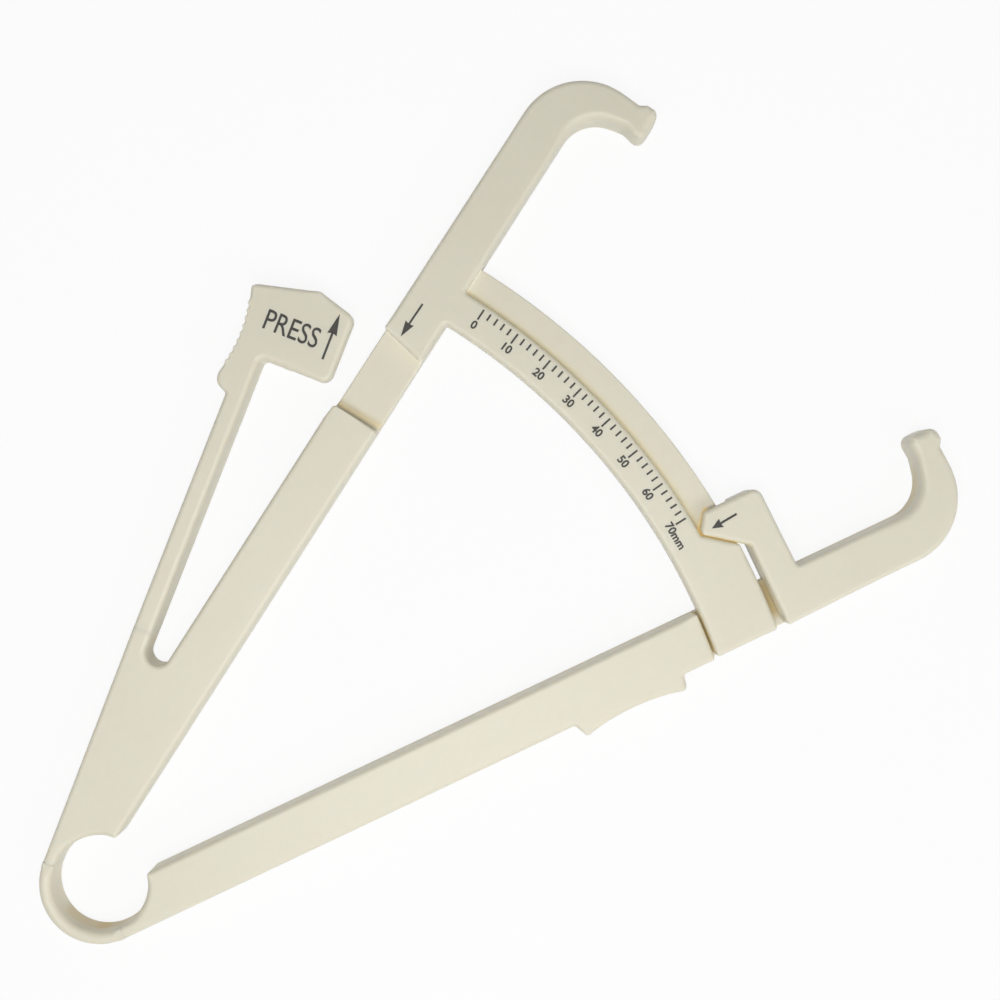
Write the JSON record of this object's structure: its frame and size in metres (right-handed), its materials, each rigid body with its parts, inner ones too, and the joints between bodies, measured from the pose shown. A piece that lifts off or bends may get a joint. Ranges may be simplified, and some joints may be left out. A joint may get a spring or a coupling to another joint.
{
  "type": "skinfold caliper",
  "caption": "Moulded skinfold caliper: hooked jaws on a spring ring, a curved millimetre scale with a sliding pointer, and a press lever that shows the set squeeze.",
  "frame": {"origin": "centre of the hole through the spring ring, in the plane of the back", "axes": "+X from the ring between the two arms to the jaws, +Y towards the arm with the scale and the press lever, +Z out of the printed face"},
  "size_m": [0.1771, 0.1163, 0.007],
  "materials": {
    "ivory_plastic": "satin, injection moulded"
  },
  "bodies": {
    "scale_side": {"scale_arm": "ivory_plastic", "scale_jaw": "ivory_plastic", "scale_jaw_foot": "ivory_plastic", "scale_arc": "ivory_plastic", "slide_rail": "ivory_plastic", "hinge_ring": "ivory_plastic"},
    "pointer_side": {"pointer_arm": "ivory_plastic", "slide_bridge": "ivory_plastic", "pointer_arm_tip": "ivory_plastic", "pointer": "ivory_plastic", "finger_rest": "ivory_plastic", "pointer_jaw": "ivory_plastic", "pointer_jaw_foot": "ivory_plastic"},
    "press_lever": {"lever_beam": "ivory_plastic", "thumb_grip": "ivory_plastic", "press_tongue": "ivory_plastic"}
  },
  "joints": [
    {"name": "ring_hinge", "type": "hinge", "parent": "scale_side", "child": "pointer_side", "pos_m": [0, 0, 0.0035], "axis": [0, 0, 1], "range_deg": [0, 25], "stiffness_Nm_per_rad": 0.5, "deforming": ["hinge_ring"]},
    {"name": "lever_flex", "type": "hinge", "parent": "scale_side", "child": "press_lever", "pos_m": [0.04018, 0.03123, 0.0035], "axis": [0, 0, 1], "range_deg": [-11, 0], "stiffness_Nm_per_rad": 0.15, "deforming": ["lever_beam"]}
  ]
}
